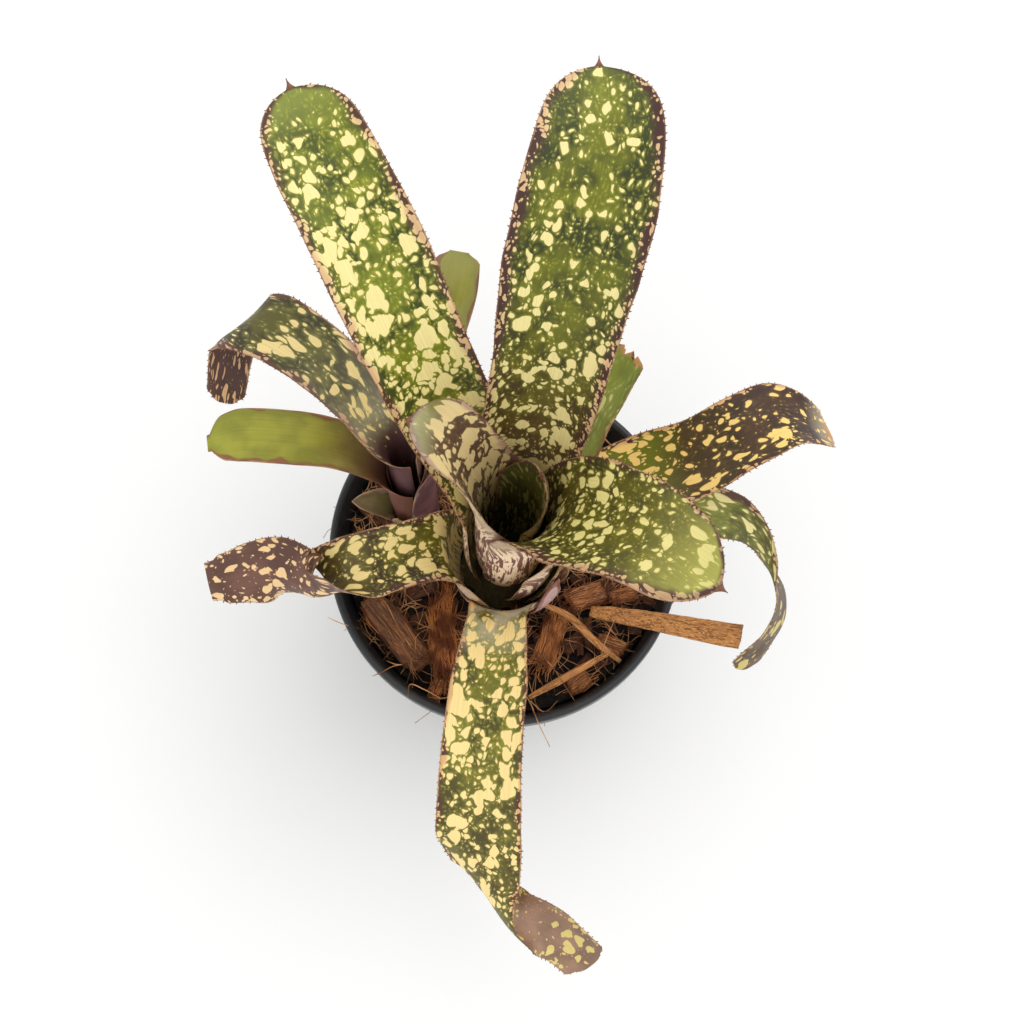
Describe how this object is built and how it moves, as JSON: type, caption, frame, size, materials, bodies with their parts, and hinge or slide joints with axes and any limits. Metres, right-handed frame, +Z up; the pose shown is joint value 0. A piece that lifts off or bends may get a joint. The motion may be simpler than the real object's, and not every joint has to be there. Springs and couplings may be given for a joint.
{
  "type": "potted bromeliad",
  "caption": "Spotted bromeliad with arching, twisted spiny leaves and a young offset, growing in bark in a round nursery pot.",
  "frame": {"origin": "middle of the underside of the pot's foot", "axes": "+Z up the pot; -Y is the front, towards the viewer; the long front leaf hangs towards -Y"},
  "size_m": [0.1941, 0.2475, 0.2581],
  "materials": {
    "pot": "satin",
    "medium": "matte",
    "bark": "matte",
    "stem": "matte",
    "leaf_spotted": "satin",
    "leaf_dark": "satin",
    "dry_scale": "matte",
    "leaf_plain": "satin",
    "sheath_purple": "satin"
  },
  "bodies": {
    "root": {"pot": "pot", "growing_medium": "medium", "husk_chip_front": "bark", "husk_chip_right": "bark", "husk_chip_far_right": "bark", "husk_chip_under_stick": "bark", "husk_chip_rim": "bark", "husk_bundle": "bark", "husk_chip_small": "bark", "husk_chip_back": "bark", "bark_slab": "bark", "bark_stick": "bark", "stem": "stem", "leaf_youngest": "leaf_spotted", "leaf_inner_left": "leaf_spotted", "leaf_right_broad": "leaf_spotted", "leaf_back": "leaf_spotted", "leaf_back_left": "leaf_spotted", "leaf_back_cut": "leaf_spotted", "leaf_right_dark": "leaf_dark", "leaf_right_twisted": "leaf_spotted", "leaf_left_rolled": "leaf_dark", "leaf_front": "leaf_spotted", "scale_lilac": "dry_scale", "scale_brown": "dry_scale", "pup_stem": "stem", "pup_leaf_arching": "leaf_spotted", "pup_leaf_back": "leaf_plain", "pup_leaf_left": "leaf_plain", "pup_sheath_right": "sheath_purple", "pup_scale_left": "leaf_plain", "pup_scale_front": "leaf_plain", "pup_scale_right": "sheath_purple"}
  },
  "joints": []
}
